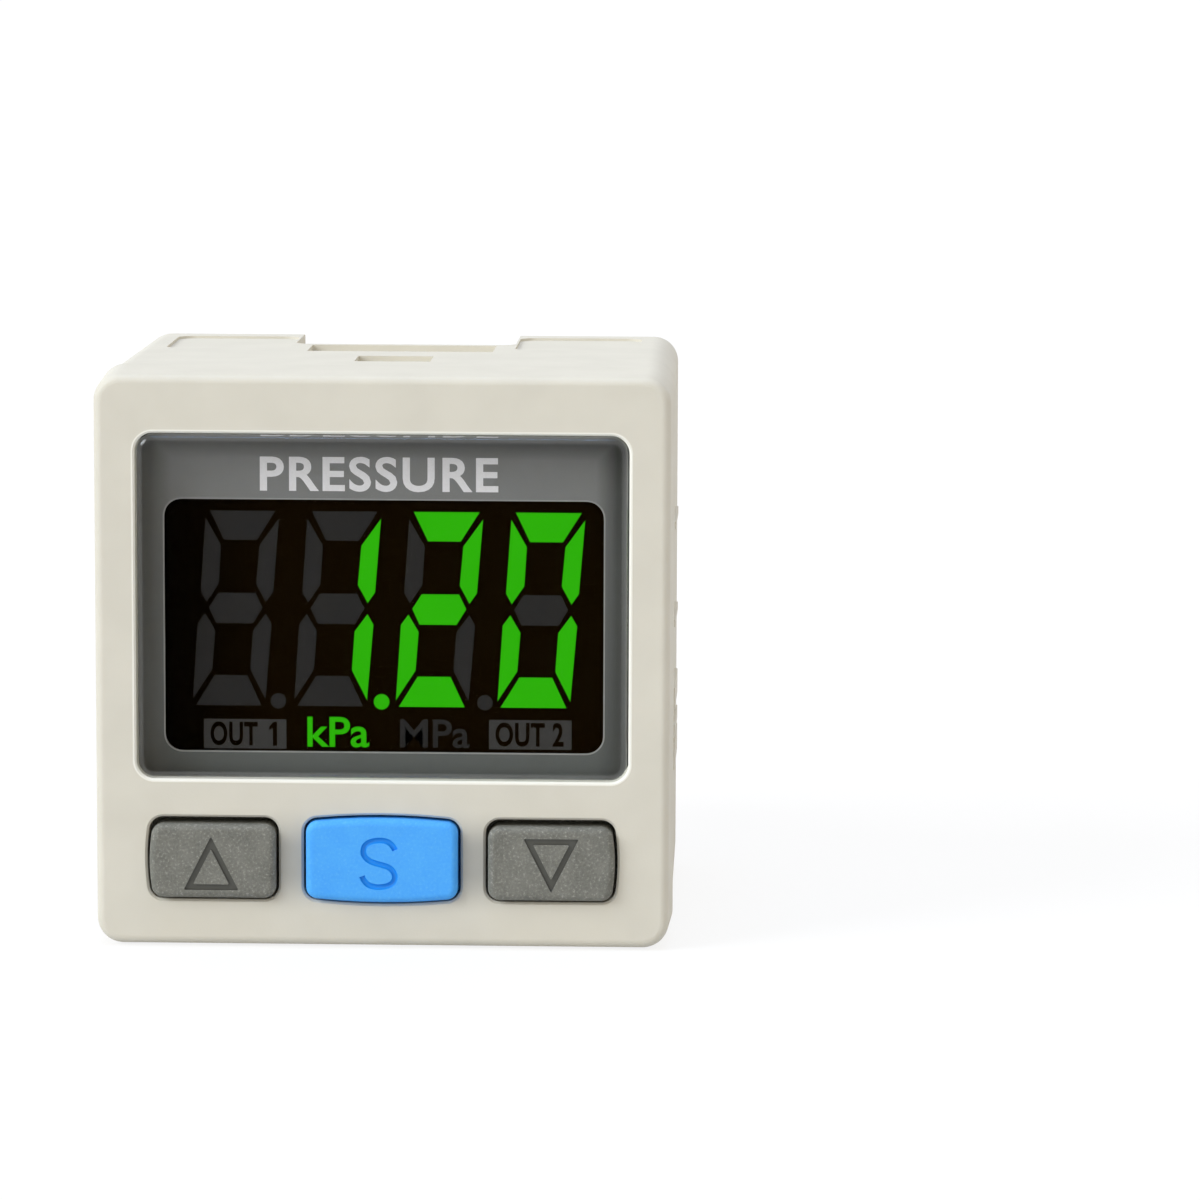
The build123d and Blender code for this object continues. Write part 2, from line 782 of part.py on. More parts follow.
parts = {
    "front_bezel": make_bezel(),
    "rear_case": make_case(),
    "display_lens": make_lens(),
    "window_mask": make_mask(),
    "lcd_panel": make_glass(),
    "lcd_frame": make_display_frame(),
    "elastomer_upper": make_strip(1),
    "elastomer_lower": make_strip(-1),
    "light_guide": make_light_guide(),
    "backlight_led_left": make_led(-1),
    "backlight_led_right": make_led(1),
    "front_board": make_front_board(),
    "microcontroller": make_controller(),
    "board_link": make_link(),
    "board_link_pins": make_link_pins(),
    "board_spacer": make_spacer(),
    "rear_board": make_rear_board(),
    "voltage_regulator": leaded_chip(
        regulator_width, regulator_height, regulator_thickness, regulator_place, 0.7, 3),
    "output_transistor_1": make_transistor(1),
    "output_transistor_2": make_transistor(-1),
    "sensor_module": make_sensor(),
    "sensor_o_ring": make_ring(),
    "port_body": make_port(),
    "port_gasket": make_gasket(),
    "port_nut": make_nut(),
    "mount_insert_left": make_insert(-1),
    "mount_insert_right": make_insert(1),
    "connector_header": make_socket(),
    "connector_pins": make_contacts(),
}
for name in button_holes:
    parts["button_" + name] = make_button(name)
    parts["tact_switch_" + name] = make_switch(name)
    parts["tact_plunger_" + name] = make_plunger(name)

os.makedirs("parts", exist_ok=True)
for node, shape in parts.items():
    export_step(shape, "parts/" + node + ".step")
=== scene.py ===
# %% [markdown]
# # A digital pressure switch
# This small square instrument watches the pressure in an air line and closes its outputs at set
# values. Its solid model comes from another program as a fixed frame. Here each surface gets its
# finish, and the print, the digits, the signs on the buttons and the threads are modelled.

# %% Load the solid model
import math

import bmesh
import bpy
from mathutils import Matrix, Vector


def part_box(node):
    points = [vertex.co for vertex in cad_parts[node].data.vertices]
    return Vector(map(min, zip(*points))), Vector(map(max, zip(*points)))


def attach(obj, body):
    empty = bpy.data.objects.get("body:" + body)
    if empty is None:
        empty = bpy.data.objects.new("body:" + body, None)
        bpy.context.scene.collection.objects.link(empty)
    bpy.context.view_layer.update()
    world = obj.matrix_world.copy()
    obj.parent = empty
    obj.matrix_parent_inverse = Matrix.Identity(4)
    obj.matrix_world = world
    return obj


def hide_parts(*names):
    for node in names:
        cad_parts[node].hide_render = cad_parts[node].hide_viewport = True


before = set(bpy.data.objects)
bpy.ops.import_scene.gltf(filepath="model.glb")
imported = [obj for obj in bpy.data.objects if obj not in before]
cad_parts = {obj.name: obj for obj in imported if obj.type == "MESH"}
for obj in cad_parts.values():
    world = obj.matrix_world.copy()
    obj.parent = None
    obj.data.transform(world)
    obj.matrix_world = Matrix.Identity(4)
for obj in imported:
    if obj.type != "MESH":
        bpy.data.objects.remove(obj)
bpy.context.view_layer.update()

# %% [markdown]
# ## Units and places
# Blender works in metres, but an instrument this small is thought of in millimetres. With metres
# throughout, every size would start with zeros, so one factor turns millimetres to metres. Depths
# are counted from the front face of the bezel to the rear, as a designer would read them off a
# section drawing.

# %% Millimetres, depths and texture scales
MM = 0.001
FRONT_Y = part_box("front_bezel")[0].y


def at_depth(depth):
    """The Y of a plane this many millimetres behind the bezel's front face."""
    return FRONT_Y + depth * MM


def depth_of(y):
    """How many millimetres a Y lies behind the bezel's front face."""
    return (y - FRONT_Y) / MM


def per(size):
    """The texture scale whose features are about this many millimetres wide."""
    return 1 / (size * MM)


for measured in ("front_bezel", "window_mask", "lcd_panel", "port_body"):
    low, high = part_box(measured)
    print(measured, "depth from", round(depth_of(low.y), 2), "to", round(depth_of(high.y), 2))

# %% [markdown]
# ## Colours and nodes
# Colours are written as sRGB hex values, the way a colour picker shows them. Shaders calculate in
# linear light, so one function converts them. Nodes could be wired by hand in the editor, but a
# script can be read and run again. One function adds any node: it sets the node's own options and
# fills its inputs. Noise is the one pattern that nearly every material here uses, so it has a
# function of its own, and so have an object's own X, Y and Z.

# %% Helpers for materials
COLOURS = {"data_type": "RGBA"}


def linear(hex_colour):
    """Linear RGBA of an sRGB hex colour."""
    channels = [int(hex_colour[i:i + 2], 16) / 255 for i in (0, 2, 4)]
    return [c / 12.92 if c <= 0.04045 else ((c + 0.055) / 1.055) ** 2.4 for c in channels] + [1.0]


def fill(node, inputs):
    """Sets or links a node's inputs, which are given by their number or their name.

    Each is a value, a socket that feeds it, or a node, whose first output in use feeds it.
    """
    for key, value in inputs.items():
        named = [socket for socket in node.inputs if socket.enabled and socket.name == key]
        target = named[0] if named else node.inputs[key]
        if isinstance(value, bpy.types.Node):
            value = next(socket for socket in value.outputs if socket.enabled)
        if isinstance(value, bpy.types.NodeSocket):
            node.id_data.links.new(value, target)
        else:
            target.default_value = value


def add(tree, kind, options, inputs):
    """Adds a node to a tree, sets its options and fills its inputs."""
    node = tree.nodes.new("ShaderNode" + kind)
    for name, value in options.items():
        setattr(node, name, value)
    fill(node, inputs)
    return node


def new_material(name, inputs):
    """A material with one Principled shader, whose inputs are filled."""
    material = bpy.data.materials.new(name)
    material.use_nodes = True
    shader = material.node_tree.nodes["Principled BSDF"]
    fill(shader, inputs)
    return material, material.node_tree, shader


def axes_of(tree):
    """The X, Y and Z of a point in the object's own space."""
    place = add(tree, "TexCoord", {}, {}).outputs["Object"]
    return add(tree, "SeparateXYZ", {}, {"Vector": place}).outputs


def noise_on(tree, size, detail=2.0, roughness=0.5, stretch=(1, 1, 1)):
    """Noise in the object's own space whose features are about this many millimetres wide."""
    place = add(tree, "TexCoord", {}, {}).outputs["Object"]
    stretched = add(tree, "Mapping", {}, {"Vector": place, "Scale": stretch})
    return add(tree, "TexNoise", {}, {
        "Vector": stretched, "Scale": per(size), "Detail": detail, "Roughness": roughness})


print("mid grey in linear light:", round(linear("808080")[0], 3))

# %% [markdown]
# ## The housing: moulded PBT
# Bezel and case are moulded from a warm light grey PBT. The mould is spark eroded, which leaves an
# even fine grain: the surface is matt, with a soft sheen at low angles. Grains of 0.12 mm could be
# modelled, but would take millions of faces, so noise gives them in the material. They show as a
# slight roughness in the light and not as a pattern. A very weak, wider mottling stands for the
# melt's flow.
#
# Two places differ, and both are painted light. The narrow webs between the buttons take a darker,
# greyer painted shade, where the caps beside them would shade them, and the fine chamfer round the
# window takes a painted highlight. Both could be faces with materials of their own, but the shade
# ends at no edge. So each is a mask, worked out from the distance to a middle.

# %% Masks on the housing
LENS_FLANGE = 0.9
lens_low, lens_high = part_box("display_lens")
WINDOW_MIDDLE = (lens_low.z + lens_high.z) / 2 / MM
WINDOW_HALF = [(lens_high[axis] - lens_low[axis]) / 2 / MM - LENS_FLANGE for axis in (0, 2)]
WINDOW_RADIUS = 0.95
CHAMFER_BAND = (0.14, 0.2)
CHAMFER_DEPTH = (0.12, 0.2)
WEB_MIDDLE = (4.73, 4.62)
WEB_ACROSS = (0.6, 2.4)
WEB_ALONG = (0.5, 2.9)
WEB_DEPTH = (0.4, 0.6)


def fading(tree, value, middle, reach):
    """1 near a middle, fading softly to 0 between the two distances of reach, in millimetres."""
    away = add(tree, "Math", {"operation": "SUBTRACT"}, {0: value, 1: middle * MM})
    distance = add(tree, "Math", {"operation": "ABSOLUTE"}, {0: away})
    return add(tree, "MapRange", {"interpolation_type": "SMOOTHSTEP"}, {
        "Value": distance, "From Min": reach[0] * MM, "From Max": reach[1] * MM,
        "To Min": 1.0, "To Max": 0.0})


def painted_web_shade(tree):
    """How much painted shade the two narrow webs between the buttons take, from 0 to 1."""
    axes = axes_of(tree)
    side = add(tree, "Math", {"operation": "ABSOLUTE"}, {0: axes["X"]})
    across = fading(tree, side, WEB_MIDDLE[0], WEB_ACROSS)
    along = fading(tree, axes["Z"], WEB_MIDDLE[1], WEB_ALONG)
    on_webs = add(tree, "Math", {"operation": "MULTIPLY"}, {0: across, 1: along})
    front = fading(tree, axes["Y"], FRONT_Y / MM, WEB_DEPTH)
    return add(tree, "Math", {"operation": "MULTIPLY"}, {0: on_webs, 1: front})


def window_edge_highlight(tree):
    """1 on the window opening's chamfer, for a painted highlight, by distance from a rounded
    rectangle.
    """
    corner = [(half - WINDOW_RADIUS) * MM for half in WINDOW_HALF]
    vector = add(tree, "TexCoord", {}, {}).outputs["Object"]
    for operation, other in (
            ("SUBTRACT", (0, 0, WINDOW_MIDDLE * MM)), ("MULTIPLY", (1, 0, 1)),
            ("ABSOLUTE", (0, 0, 0)), ("SUBTRACT", (corner[0], 0, corner[1])),
            ("MAXIMUM", (0, 0, 0))):
        vector = add(tree, "VectorMath", {"operation": operation}, {0: vector, 1: other})
    distance = add(tree, "VectorMath", {"operation": "LENGTH"}, {0: vector})
    on_edge = add(tree, "MapRange", {}, {
        "Value": distance, "From Min": (WINDOW_RADIUS + CHAMFER_BAND[0]) * MM,
        "From Max": (WINDOW_RADIUS + CHAMFER_BAND[1]) * MM, "To Min": 1.0, "To Max": 0.0})
    front = fading(tree, axes_of(tree)["Y"], FRONT_Y / MM, CHAMFER_DEPTH)
    return add(tree, "Math", {"operation": "MULTIPLY"}, {0: on_edge, 1: front})


print("window: middle at", round(WINDOW_MIDDLE, 2), "half", [round(h, 2) for h in WINDOW_HALF])


# %% Housing material
def make_housing_material():
    material, tree, shader = new_material("moulded_pbt", {"IOR": 1.56, "Specular IOR Level": 0.35})
    flow = add(tree, "MapRange", {}, {
        "Value": noise_on(tree, 3.0), "From Min": 0.35, "From Max": 0.65})
    base_tone = add(tree, "Mix", COLOURS, {
        "Factor": flow, "A": linear("D6D2C6"), "B": linear("DAD6CA")})
    # Painted shade: the webs between the buttons are darker and greyer.
    web_shaded = add(tree, "Mix", COLOURS, {
        "Factor": painted_web_shade(tree), "A": base_tone, "B": linear("ABAAA4")})
    # Painted highlight: the window's fine chamfer is lighter.
    chamfer_highlighted = add(tree, "Mix", COLOURS, {
        "Factor": window_edge_highlight(tree), "A": web_shaded, "B": linear("F4F2EA")})
    grain = noise_on(tree, 0.12, detail=3.0, roughness=0.6)
    matt = add(tree, "MapRange", {}, {"Value": grain, "To Min": 0.5, "To Max": 0.66})
    relief = add(tree, "Bump", {}, {"Height": grain, "Distance": 0.006 * MM})
    fill(shader, {"Base Color": chamfer_highlighted, "Roughness": matt, "Normal": relief})
    return material


moulded_pbt = make_housing_material()
print("made", moulded_pbt.name, "with", len(moulded_pbt.node_tree.nodes), "nodes")

# %% [markdown]
# ## The window: hard-coated acrylic
# The raised window is clear cast acrylic, IOR 1.49, polished and hard coated. The coat takes most
# of the mirror reflection away, so the specular tint is nearly black on the flat face. The rounded
# edge is bare, so it shines as a thin light line. A face's own direction tells the two apart.
#
# Glass stops the rays that go from a surface behind it to the lamps, and what lies behind would be
# nearly black. A plain transparent material would let them pass, but nothing would bend or shine in
# it. So rays towards lamps, and rays that diffuse surfaces send out, pass the window straight, and
# the camera's own rays still bend.

# %% Window material
COATED, BARE = -0.995, -0.95


def make_lens_material():
    material, tree, shader = new_material("hard_coated_acrylic", {
        "IOR": 1.49, "Roughness": 0.0, "Transmission Weight": 1.0, "Specular IOR Level": 0.1,
        "Base Color": linear("FBFBFA")})
    direction = add(tree, "TexCoord", {}, {}).outputs["Normal"]
    to_rear = add(tree, "SeparateXYZ", {}, {"Vector": direction}).outputs["Y"]
    bare_edge = add(tree, "MapRange", {}, {
        "Value": to_rear, "From Min": COATED, "From Max": BARE})
    tint = add(tree, "Mix", COLOURS, {
        "Factor": bare_edge, "A": linear("1C1C1C"), "B": linear("FFFFFF")})
    fill(shader, {"Specular Tint": tint})
    rays = add(tree, "LightPath", {}, {}).outputs
    passes = add(tree, "Math", {"operation": "MAXIMUM"}, {
        0: rays["Is Shadow Ray"], 1: rays["Is Diffuse Ray"]})
    clear = add(tree, "BsdfTransparent", {}, {"Color": linear("FBFBFA")})
    mixed = add(tree, "MixShader", {}, {0: passes, 1: shader, 2: clear})
    fill(tree.nodes["Material Output"], {"Surface": mixed})
    return material


hard_coated_acrylic = make_lens_material()
print("made", hard_coated_acrylic.name)

# %% [markdown]
# ## The film behind the window: screen-printed polyester
# A polyester film, printed mid grey from behind, frames the display. Ink on film is even and
# satin. Above the display it lies in full light, and near the window's walls it lies in their
# shade. The lamps alone give too little of that through the window, so the ink itself grows lighter
# upwards, and it is darker along the walls at the sides and at the top.
#
# Ink, the painted highlight of a cut edge and many of the plastics further down need no more than
# two close tones in soft patches, so one function makes them all.

# %% Film material
FILM_LOW, FILM_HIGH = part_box("window_mask")
SIDE_SHADE = (11.0, 12.1)
TOP_SHADE = (25.4, 26.5)


def make_film_material():
    material, tree, shader = new_material("printed_polyester", {
        "Roughness": 0.55, "Specular IOR Level": 0.3})
    axes = axes_of(tree)
    rise = add(tree, "MapRange", {}, {
        "Value": axes["Z"], "From Min": FILM_LOW.z, "From Max": FILM_HIGH.z})
    open_ink = add(tree, "Mix", COLOURS, {
        "Factor": rise, "A": linear("5B5F5F"), "B": linear("88898B")})
    side = add(tree, "Math", {"operation": "ABSOLUTE"}, {0: axes["X"]})
    at_sides = add(tree, "MapRange", {}, {
        "Value": side, "From Min": SIDE_SHADE[0] * MM, "From Max": SIDE_SHADE[1] * MM})
    at_top = add(tree, "MapRange", {}, {
        "Value": axes["Z"], "From Min": TOP_SHADE[0] * MM, "From Max": TOP_SHADE[1] * MM})
    shaded = add(tree, "Math", {"operation": "MAXIMUM"}, {0: at_sides, 1: at_top})
    across = add(tree, "MapRange", {}, {
        "Value": axes["X"], "From Min": FILM_LOW.x, "From Max": FILM_HIGH.x})
    shade = add(tree, "Mix", COLOURS, {
        "Factor": across, "A": linear("646563"), "B": linear("484948")})
    ink = add(tree, "Mix", COLOURS, {"Factor": shaded, "A": open_ink, "B": shade})
    cloudy = add(tree, "MapRange", {}, {"Value": noise_on(tree, 0.9, detail=4.0), "To Max": 0.12})
    printed = add(tree, "Mix", COLOURS, {"Factor": cloudy, "A": ink, "B": linear("3A3A38")})
    relief = add(tree, "Bump", {}, {"Height": noise_on(tree, 0.15), "Distance": 0.001 * MM})
    fill(shader, {"Base Color": printed, "Normal": relief})
    return material


printed_polyester = make_film_material()
print("made", printed_polyester.name, "with", len(printed_polyester.node_tree.nodes), "nodes")


# %% Two-tone materials
def make_two_tone(name, colour, shade, patch, inputs, detail=2.0, relief=0.0):
    """A material of two close colours in soft patches, this many millimetres wide.

    inputs are the shader's other inputs, and relief is the patches' height in millimetres.
    """
    material, tree, shader = new_material(name, inputs)
    patches = noise_on(tree, patch, detail=detail)
    mixed = add(tree, "Mix", COLOURS, {
        "Factor": patches, "A": linear(colour), "B": linear(shade)})
    fill(shader, {"Base Color": mixed})
    if relief:
        raised = add(tree, "Bump", {}, {"Height": patches, "Distance": relief * MM})
        fill(shader, {"Normal": raised})
    return material


# The film's cut edge gets a paler painted highlight.
cut_edge_highlight_paint = make_two_tone("cut_edge_painted_highlight", "A2A3A4", "8E8F90", 0.5, {"Roughness": 0.5})
light_grey_ink = make_two_tone(
    "light_grey_ink", "E0E0E6", "EDEDF4", 0.2, {"Roughness": 0.5}, detail=3.0)
print("made", cut_edge_highlight_paint.name, "and", light_grey_ink.name)

# %% [markdown]
# ## The display: a negative liquid crystal cell
# A negative cell is black where it is driven dark and clear where a segment is lit from behind.
# The cell is two glass plates between polarisers, so its face is black and satin, a shade browner
# towards the middle. A lit segment passes the green light of the guide behind it. Real light
# through a clear segment would be slow and noisy to render, so a lit segment is an even emission. A
# segment that is off still shows as a slightly lighter grey.

# %% Display materials
DULL = {"Roughness": 0.45, "Specular IOR Level": 0.0}


def make_cell_material():
    material, tree, shader = new_material("polarised_cell_glass", {
        "Roughness": 0.4, "Specular IOR Level": 0.0})
    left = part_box("lcd_panel")[0].x
    inwards = add(tree, "MapRange", {}, {
        "Value": axes_of(tree)["X"], "From Min": left, "From Max": left / 2})
    browner = add(tree, "Mix", COLOURS, {
        "Factor": inwards, "A": linear("000000"), "B": linear("100801")})
    fill(shader, {"Base Color": browner})
    return material


def make_lit_material():
    material, tree, shader = new_material("lit_segment", {
        "Roughness": 0.5, "Base Color": linear("020802"), "Specular IOR Level": 0.0,
        "Emission Strength": 1.0})
    glow = add(tree, "Mix", COLOURS, {
        "Factor": noise_on(tree, 6.0), "A": linear("2AAB08"), "B": linear("31B60C")})
    fill(shader, {"Emission Color": glow})
    return material


polarised_cell_glass = make_cell_material()
lit_segment = make_lit_material()
unlit_segment = make_two_tone("unlit_segment", "2A2A2C", "302F2E", 2.0, DULL)
output_box = make_two_tone("unlit_output_box", "3E3E3F", "434242", 2.0, DULL)
print("made", polarised_cell_glass.name, lit_segment.name, unlit_segment.name, output_box.name)

# %% [markdown]
# ## The buttons: textured silicone rubber
# The caps are moulded silicone with a sandy texture, about 0.15 mm from grain to grain. Each grain
# catches a little light, which gives the speckle, and here that light is a painted highlight. A
# second noise could make it, but light and relief would then disagree. So the highest grains are
# mixed to a light tone, the painted highlight, by the noise that raises them. The blue cap is the
# same rubber, cleaner and more even. The signs are pressed into the caps. The floor of each groove
# is smooth, and its darker tone is painted shade.

# %% Button materials
GRAIN = 0.15
CLOUD = 1.1
BODY_TONES = (0.5, 0.95)
HIGH_GRAINS = (0.56, 0.74)


def make_rubber_material(name, dark, middle, light, highlight_share, relief):
    """light is a painted highlight on the top grains, speckle its share, and relief is in
    millimetres.
    """
    material, tree, shader = new_material(name, {"Roughness": 0.62, "Specular IOR Level": 0.3})
    grain = noise_on(tree, GRAIN, detail=4.0, roughness=0.7)
    both = add(tree, "Math", {"operation": "MULTIPLY_ADD"}, {
        0: noise_on(tree, CLOUD), 1: 0.5, 2: grain})
    tone = add(tree, "MapRange", {}, {
        "Value": both, "From Min": BODY_TONES[0], "From Max": BODY_TONES[1]})
    # The highest grains get a painted highlight in the light tone.
    lit = add(tree, "MapRange", {}, {
        "Value": grain, "From Min": HIGH_GRAINS[0], "From Max": HIGH_GRAINS[1], "To Max": highlight_share})
    body = add(tree, "Mix", COLOURS, {"Factor": tone, "A": linear(dark), "B": linear(middle)})
    grain_highlighted = add(tree, "Mix", COLOURS, {"Factor": lit, "A": body, "B": linear(light)})
    raised = add(tree, "Bump", {}, {"Height": grain, "Distance": relief * MM})
    fill(shader, {"Base Color": grain_highlighted, "Normal": raised})
    return material


grey_silicone = make_rubber_material("grey_silicone", "65655F", "83837C", "B2B2AB", 0.8, 0.02)
blue_silicone = make_rubber_material("blue_silicone", "46A3FD", "52B1FF", "84C9FF", 0.3, 0.01)
# The grooves' darker tones are painted shade.
grey_groove_shade = make_two_tone("grey_groove_painted_shade", "4F4F4A", "474741", 0.25, {"Roughness": 0.5})
blue_groove_shade = make_two_tone("blue_groove_painted_shade", "0293F4", "0089E8", 0.25, {"Roughness": 0.5})
print("made", grey_silicone.name, blue_silicone.name, grey_groove_shade.name, blue_groove_shade.name)

# %% [markdown]
# ## Metals
# The port is brass, turned and plated with nickel: bright, a little warm, with turning marks that
# run round its axis. The inserts are bare brass. The contact pins are brass with a thin gold plate,
# so they are yellower and smoother. A metal's colour is its reflection, so each is fully metallic.
# The marks could be anisotropic shading, but noise that is fine along the axis and long across it
# also varies the gloss, as a tool does.

# %% Metal materials
ALONG_AXIS = (0.06, 1.0, 0.06)
GLOSS_SPREAD = 0.07


def make_metal_material(name, colour, shade, roughness, marks):
    """marks is the spacing of the turning marks in millimetres."""
    material, tree, shader = new_material(name, {"Metallic": 1.0})
    turned = noise_on(tree, marks, detail=3.0, stretch=ALONG_AXIS)
    mixed = add(tree, "Mix", COLOURS, {"Factor": turned, "A": linear(colour), "B": linear(shade)})
    gloss = add(tree, "MapRange", {}, {
        "Value": turned, "To Min": roughness - GLOSS_SPREAD, "To Max": roughness + GLOSS_SPREAD})
    raised = add(tree, "Bump", {}, {"Height": turned, "Distance": 0.002 * MM})
    fill(shader, {"Base Color": mixed, "Roughness": gloss, "Normal": raised})
    return material


nickel_plate = make_metal_material("nickel_plated_brass", "CFCAC0", "B9B3A8", 0.24, 0.09)
bare_brass = make_metal_material("bare_brass", "D9B25E", "BF9747", 0.3, 0.08)
gold_plate = make_metal_material("gold_plated_brass", "E6C57C", "D5B166", 0.26, 0.05)
print("made", nickel_plate.name, bare_brass.name, gold_plate.name)

# %% [markdown]
# ## Plastics, rubber and boards inside
# What lies inside is made as carefully as what shows, because the case can be opened. Chips are
# matt epoxy. The socket and the frames are unfilled plastics, which are milky. The circuit boards
# are glass fibre under green solder mask. Their weave is about 0.4 mm in a real board. It is drawn
# at 0.8 mm so that it shows, and copper under the mask lightens it in patches. The contact strips
# are layers of carbon-filled and clear silicone. The real ones repeat at about 0.15 mm, which would
# turn to plain grey, so these repeat at about ten times that.

# %% Materials of the inner pieces
BOARD_WEAVE = 0.8
STRIP_LAYERS = 1.5708
WAVE_RADIANS = 20


def make_board_material():
    material, tree, shader = new_material("solder_mask_on_glass_fibre", {"Roughness": 0.38})
    place = add(tree, "TexCoord", {}, {}).outputs["Object"]
    weave = add(tree, "TexChecker", {}, {"Vector": place, "Scale": per(BOARD_WEAVE)})
    faint = add(tree, "MapRange", {}, {"Value": weave.outputs["Fac"], "To Max": 0.25})
    fibre = add(tree, "Mix", COLOURS, {
        "Factor": faint, "A": linear("1E5B36"), "B": linear("2A6E44")})
    copper = add(tree, "MapRange", {}, {
        "Value": noise_on(tree, 1.6, detail=0.0), "From Min": 0.52, "From Max": 0.54,
        "To Max": 0.5})
    mask = add(tree, "Mix", COLOURS, {"Factor": copper, "A": fibre, "B": linear("3B8A58")})
    raised = add(tree, "Bump", {}, {"Height": copper, "Distance": 0.03 * MM})
    fill(shader, {"Base Color": mask, "Normal": raised})
    return material


def make_strip_material():
    """Stripes across X. A wave texture runs through WAVE_RADIANS in a unit at a scale of 1."""
    material, tree, shader = new_material("zebra_contact_silicone", {"Roughness": 0.6})
    place = add(tree, "TexCoord", {}, {}).outputs["Object"]
    layers = add(tree, "TexWave", {"bands_direction": "X"}, {
        "Vector": place, "Scale": per(STRIP_LAYERS) * 2 * math.pi / WAVE_RADIANS})
    striped = add(tree, "Mix", COLOURS, {
        "Factor": layers.outputs["Fac"], "A": linear("1A1A1A"), "B": linear("C9CBC8")})
    fill(shader, {"Base Color": striped})
    return material


def make_clear_material():
    material, tree, shader = new_material("clear_acrylic_guide", {
        "IOR": 1.49, "Transmission Weight": 0.9, "Base Color": linear("F4F8F4")})
    frosted = add(tree, "MapRange", {}, {
        "Value": noise_on(tree, 0.3), "To Min": 0.05, "To Max": 0.3})
    fill(shader, {"Roughness": frosted})
    return material


# Each plastic has two tones, a roughness, and a grain in millimetres.
plastics = {
    "unfilled_nylon": ("E9E6DC", "DEDACE", 0.42, 0.3),
    "white_polycarbonate": ("E8E8E6", "DADAD8", 0.45, 0.25),
    "black_glass_filled_nylon": ("1C1C1D", "262627", 0.55, 0.15),
    "moulding_epoxy": ("1A1B1C", "242526", 0.6, 0.08),
    "red_acetal": ("9E2F27", "8E271F", 0.4, 0.2),
    "black_pps": ("212123", "29292B", 0.42, 0.15),
    "nitrile_rubber": ("161616", "222221", 0.66, 0.12),
    "led_phosphor_package": ("EDE7BE", "E2D9A0", 0.4, 0.2),
}
moulded = {
    name: make_two_tone(name, colour, shade, grain, {"Roughness": roughness}, 3.0, 0.004)
    for name, (colour, shade, roughness, grain) in plastics.items()}
board_mask = make_board_material()
zebra_silicone = make_strip_material()
clear_guide = make_clear_material()
print("materials:", len(bpy.data.materials))

# %% [markdown]
# ## Dress the carried-over pieces
# Each piece of the solid model keeps its shape. Its material could be set piece by piece, but the
# record names a slot for each, so one table from slot to material covers them all.

# %% Materials on the solid model's pieces
finishes = {
    "housing": moulded_pbt, "lens": hard_coated_acrylic, "mask": printed_polyester,
    "display": polarised_cell_glass, "frame": moulded["white_polycarbonate"],
    "contact_rubber": zebra_silicone, "light_guide": clear_guide,
    "led": moulded["led_phosphor_package"], "board": board_mask,
    "chip": moulded["moulding_epoxy"], "pins": gold_plate,
    "switch": moulded["black_glass_filled_nylon"], "plunger": moulded["red_acetal"],
    "grey_button": grey_silicone, "blue_button": blue_silicone, "sensor": moulded["black_pps"],
    "seal": moulded["nitrile_rubber"], "nickel": nickel_plate, "insert": bare_brass,
    "socket": moulded["unfilled_nylon"],
}
for name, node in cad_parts.items():
    slot = node.material_slots[0].name
    node.data.materials.clear()
    node.data.materials.append(finishes[slot])
print("dressed", len(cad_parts), "pieces")

# %% [markdown]
# ## From a bmesh to a piece
# New shapes could be drawn as lists of points and faces. A bmesh is Blender's mesh kit for scripts,
# and its operators do that work: a face is extruded to a plate, or inset to a ring. Its normals are
# turned outwards once the shape is closed. The piece then rides on the body of the solid model that
# carries it.

# %% Helpers for pieces
def add_object(name, data):
    """A new object in the scene."""
    made = bpy.data.objects.new(name, data)
    bpy.context.scene.collection.objects.link(made)
    return made


def mesh_from(shape, name):
    """Turns a bmesh into a mesh."""
    mesh = bpy.data.meshes.new(name)
    shape.to_mesh(mesh)
    shape.free()
    return mesh


def evaluated_mesh(thing):
    """The mesh of an object as it shows: with its modifiers, or from its text or curve."""
    state = bpy.context.evaluated_depsgraph_get()
    return bpy.data.meshes.new_from_object(thing.evaluated_get(state))


def make_piece(name, shape, materials, body):
    """Turns a closed bmesh into a piece that rides on a body."""
    bmesh.ops.recalc_face_normals(shape, faces=shape.faces)
    piece = add_object(name, mesh_from(shape, name))
    for material in materials:
        piece.data.materials.append(material)
    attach(piece, body)
    print("piece", name, "faces:", len(piece.data.polygons))
    return piece


def add_face(shape, outline, depth):
    """Adds a flat face to a bmesh. Its outline is in millimetres, as (X, Z), at a depth."""
    corners = [shape.verts.new((x * MM, at_depth(depth), z * MM)) for x, z in outline]
    face = shape.faces.new(corners)
    face.normal_update()
    return face


def extrude_to_rear(shape, faces, distance):
    """Extrudes faces to the rear by this many millimetres."""
    grown = bmesh.ops.extrude_face_region(shape, geom=faces)["geom"]
    moved = [v for v in grown if isinstance(v, bmesh.types.BMVert)]
    bmesh.ops.translate(shape, verts=moved, vec=(0, distance * MM, 0))


def inset_to_ring(shape, face, width):
    """Insets a face by this many millimetres and takes its middle out."""
    bmesh.ops.inset_region(shape, faces=[face], thickness=width * MM, use_boundary=True,
                           use_even_offset=True)
    bmesh.ops.delete(shape, geom=[face], context="FACES_ONLY")


# %% [markdown]
# ## The digits
# Four digits of seven segments each, which lean by about 4 degrees. A picture of the digits would
# blur when seen close, so each segment is a shape. One digit's segments are drawn once, upright and
# about its middle, and a loop leans and places them. The segments of the cell are its electrodes, a
# few hundredths of a millimetre thick, so each is a thin plate on the glass.

# %% Segment outlines
DIGIT_MIDDLE_Z = 17.56
FIRST_DIGIT_X = -7.72
DIGIT_SPACING = 5.29
LEAN = math.tan(math.radians(4.36))
SEGMENT_FRONT = 2.61
GLASS_FRONT = depth_of(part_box("lcd_panel")[0].y)


def mirrored(outline):
    return [(-x, z) for x, z in outline]


